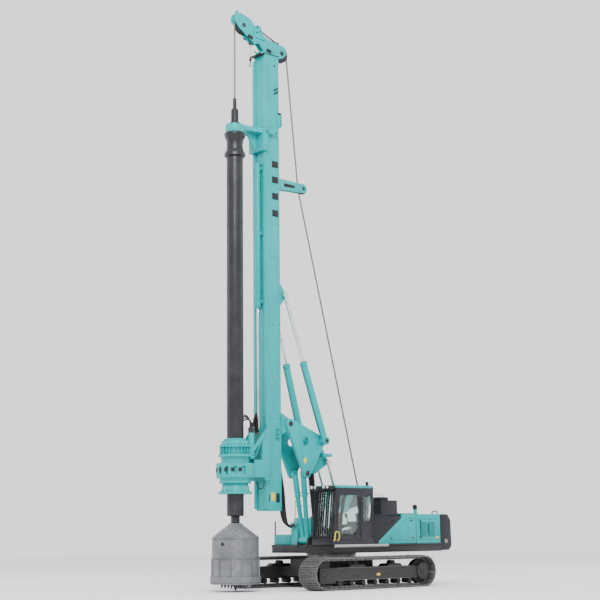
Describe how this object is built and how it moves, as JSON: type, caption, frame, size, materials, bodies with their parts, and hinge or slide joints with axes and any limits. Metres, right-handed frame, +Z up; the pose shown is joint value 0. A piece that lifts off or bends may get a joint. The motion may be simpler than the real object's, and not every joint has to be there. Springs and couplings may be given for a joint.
{
  "type": "rotary piling rig",
  "caption": "Tall drilling rig on crawler tracks: a turning upper body with a cab carries a mast that guides a kelly bar with its power head and a drilling bucket.",
  "frame": {"origin": "the slewing axis where it meets the ground between the tracks", "axes": "+Z up along the slewing axis, -Y towards the mast and drilling tool, +X towards the cab, the machine's left"},
  "size_m": [4.325, 8.8984, 18.54],
  "materials": {
    "teal_paint": "satin",
    "grey_paint": "satin",
    "kelly_steel": "satin, worn",
    "bare_steel": "dull, scratched",
    "chrome_rod": "polished",
    "track_steel": "dull",
    "cast_weight": "painted",
    "cab_glass": "clear",
    "seat_vinyl": "matt",
    "black_paint": "matt"
  },
  "bodies": {
    "undercarriage": {"car_body": "grey_paint", "track_frame_left": "grey_paint", "track_frame_right": "grey_paint", "track_left": "track_steel", "track_right": "track_steel", "slewing_ring": "bare_steel"},
    "upper": {"platform": "grey_paint", "cab": "grey_paint", "cab_guard": "black_paint", "windscreen": "cab_glass", "operator_seat": "seat_vinyl", "service_shelf": "grey_paint", "side_cabinet_left": "teal_paint", "side_cabinet_right": "teal_paint", "engine_house": "teal_paint", "engine_block": "bare_steel", "counterweight": "cast_weight", "fuel_tank": "teal_paint", "winch_frame": "teal_paint"},
    "cab_door": {"cab_door": "grey_paint", "door_glass": "cab_glass"},
    "engine_door_left": {"engine_door_left": "teal_paint"},
    "engine_door_right": {"engine_door_right": "teal_paint"},
    "engine_hood": {"engine_hood": "teal_paint"},
    "winch_drum": {"winch_drum": "bare_steel"},
    "boom": {"boom": "teal_paint"},
    "support_link": {"support_link": "grey_paint"},
    "triangle": {"triangle": "teal_paint"},
    "luff_barrels": {"luff_barrel_left": "teal_paint", "luff_barrel_right": "teal_paint"},
    "luff_rods": {"luff_rod_left": "chrome_rod", "luff_rod_right": "chrome_rod"},
    "mast_barrels": {"mast_barrel_left": "teal_paint", "mast_barrel_right": "teal_paint"},
    "mast_rod_left": {"mast_rod_left": "chrome_rod"},
    "mast_rod_right": {"mast_rod_right": "chrome_rod"},
    "mast": {"mast": "teal_paint", "mast_head": "teal_paint", "crowd_barrel": "teal_paint"},
    "front_sheave": {"front_sheave": "grey_paint"},
    "rear_sheave": {"rear_sheave": "grey_paint"},
    "guide_pulley": {"guide_pulley": "grey_paint"},
    "power_head": {"power_head_carriage": "teal_paint", "gearbox": "teal_paint", "crowd_rod": "chrome_rod"},
    "drive_sleeve": {"drive_sleeve": "teal_paint"},
    "kelly_guide": {"kelly_guide": "teal_paint", "swivel": "black_paint"},
    "kelly": {"kelly": "kelly_steel", "bucket": "bare_steel"},
    "bucket_lid": {"bucket_lid": "bare_steel"}
  },
  "joints": [
    {"name": "slew_turn", "type": "hinge", "parent": "undercarriage", "child": "upper", "pos_m": [0, 0, 1.1], "axis": [0, 0, 1], "continuous": true},
    {"name": "cab_door_hinge", "type": "hinge", "parent": "upper", "child": "cab_door", "pos_m": [1.4945, -0.077, 2.2], "axis": [0, 0, 1], "range_deg": [0, 150]},
    {"name": "engine_door_left_hinge", "type": "hinge", "parent": "upper", "child": "engine_door_left", "pos_m": [1.4945, 3.513, 1.8], "axis": [0, 0, 1], "range_deg": [0, 120]},
    {"name": "engine_door_right_hinge", "type": "hinge", "parent": "upper", "child": "engine_door_right", "pos_m": [-1.4945, 3.513, 1.8], "axis": [0, 0, -1], "range_deg": [0, 120]},
    {"name": "engine_hood_hinge", "type": "hinge", "parent": "upper", "child": "engine_hood", "pos_m": [0, 3.513, 2.3245], "axis": [-1, 0, 0], "range_deg": [0, 65]},
    {"name": "winch_spin", "type": "hinge", "parent": "upper", "child": "winch_drum", "pos_m": [0, 1.78, 1.98], "axis": [1, 0, 0], "continuous": true},
    {"name": "boom_luff", "type": "hinge", "parent": "upper", "child": "boom", "pos_m": [0, -1.12, 1.5], "axis": [-1, 0, 0], "range_deg": [-12, 20]},
    {"name": "support_link_swing", "type": "hinge", "parent": "upper", "child": "support_link", "pos_m": [0, -0.62, 1.62], "axis": [-1, 0, 0], "range_deg": [-12, 20]},
    {"name": "triangle_swing", "type": "hinge", "parent": "boom", "child": "triangle", "pos_m": [0, -1.36, 3.6], "axis": [1, 0, 0], "range_deg": [-12, 20]},
    {"name": "luff_barrel_swing", "type": "hinge", "parent": "upper", "child": "luff_barrels", "pos_m": [0, 0.45, 1.6], "axis": [-1, 0, 0], "range_deg": [-11, 17]},
    {"name": "luff_rod_slide", "type": "slide", "parent": "luff_barrels", "child": "luff_rods", "axis": [0, -0.3233, 0.9463], "range_m": [-0.18, 0.12]},
    {"name": "mast_tilt", "type": "hinge", "parent": "triangle", "child": "mast", "pos_m": [0, -2.05, 5.15], "axis": [-1, 0, 0], "range_deg": [-5, 90]},
    {"name": "mast_barrel_swing", "type": "hinge", "parent": "triangle", "child": "mast_barrels", "pos_m": [0, -0.72, 4.65], "axis": [-1, 0, 0], "range_deg": [-5.5, 95]},
    {"name": "mast_rod_left_slide", "type": "slide", "parent": "mast_barrels", "child": "mast_rod_left", "axis": [-0.0451, -0.2993, 0.9531], "range_m": [-1.99, 0.12]},
    {"name": "mast_rod_right_slide", "type": "slide", "parent": "mast_barrels", "child": "mast_rod_right", "axis": [0.0451, -0.2993, 0.9531], "range_m": [-1.99, 0.12]},
    {"name": "front_sheave_spin", "type": "hinge", "parent": "mast", "child": "front_sheave", "pos_m": [0, -3.68, 18.15], "axis": [1, 0, 0], "continuous": true},
    {"name": "rear_sheave_spin", "type": "hinge", "parent": "mast", "child": "rear_sheave", "pos_m": [0, -2.05, 17.55], "axis": [1, 0, 0], "continuous": true},
    {"name": "guide_pulley_spin", "type": "hinge", "parent": "mast", "child": "guide_pulley", "pos_m": [0, -1.12, 13.05], "axis": [1, 0, 0], "continuous": true},
    {"name": "crowd_slide", "type": "slide", "parent": "mast", "child": "power_head", "axis": [0, 0, 1], "range_m": [-0.45, 3.8]},
    {"name": "sleeve_spin", "type": "hinge", "parent": "power_head", "child": "drive_sleeve", "pos_m": [0, -3.98, 3.4], "axis": [0, 0, 1], "continuous": true},
    {"name": "kelly_hoist", "type": "slide", "parent": "mast", "child": "kelly_guide", "axis": [0, 0, 1], "range_m": [0, 0.8]},
    {"name": "kelly_spin", "type": "hinge", "parent": "kelly_guide", "child": "kelly", "pos_m": [0, -3.98, 14.4], "axis": [0, 0, 1], "continuous": true},
    {"name": "bucket_lid_hinge", "type": "hinge", "parent": "kelly", "child": "bucket_lid", "pos_m": [0, -3.155, 0.3], "axis": [1, 0, 0], "range_deg": [0, 85]}
  ],
  "couplings": [
    {"joint": "support_link_swing", "follows": "boom_luff", "ratio": 1},
    {"joint": "triangle_swing", "follows": "boom_luff", "ratio": 1},
    {"joint": "luff_barrel_swing", "follows": "boom_luff", "ratio": 0.83},
    {"joint": "luff_rod_slide", "follows": "boom_luff", "m_per_rad": -0.48},
    {"joint": "mast_barrel_swing", "follows": "mast_tilt", "ratio": 1.053},
    {"joint": "mast_rod_left_slide", "follows": "mast_tilt", "m_per_rad": -1.2635},
    {"joint": "mast_rod_right_slide", "follows": "mast_tilt", "m_per_rad": -1.2635},
    {"joint": "sleeve_spin", "follows": "kelly_spin", "ratio": 1}
  ]
}
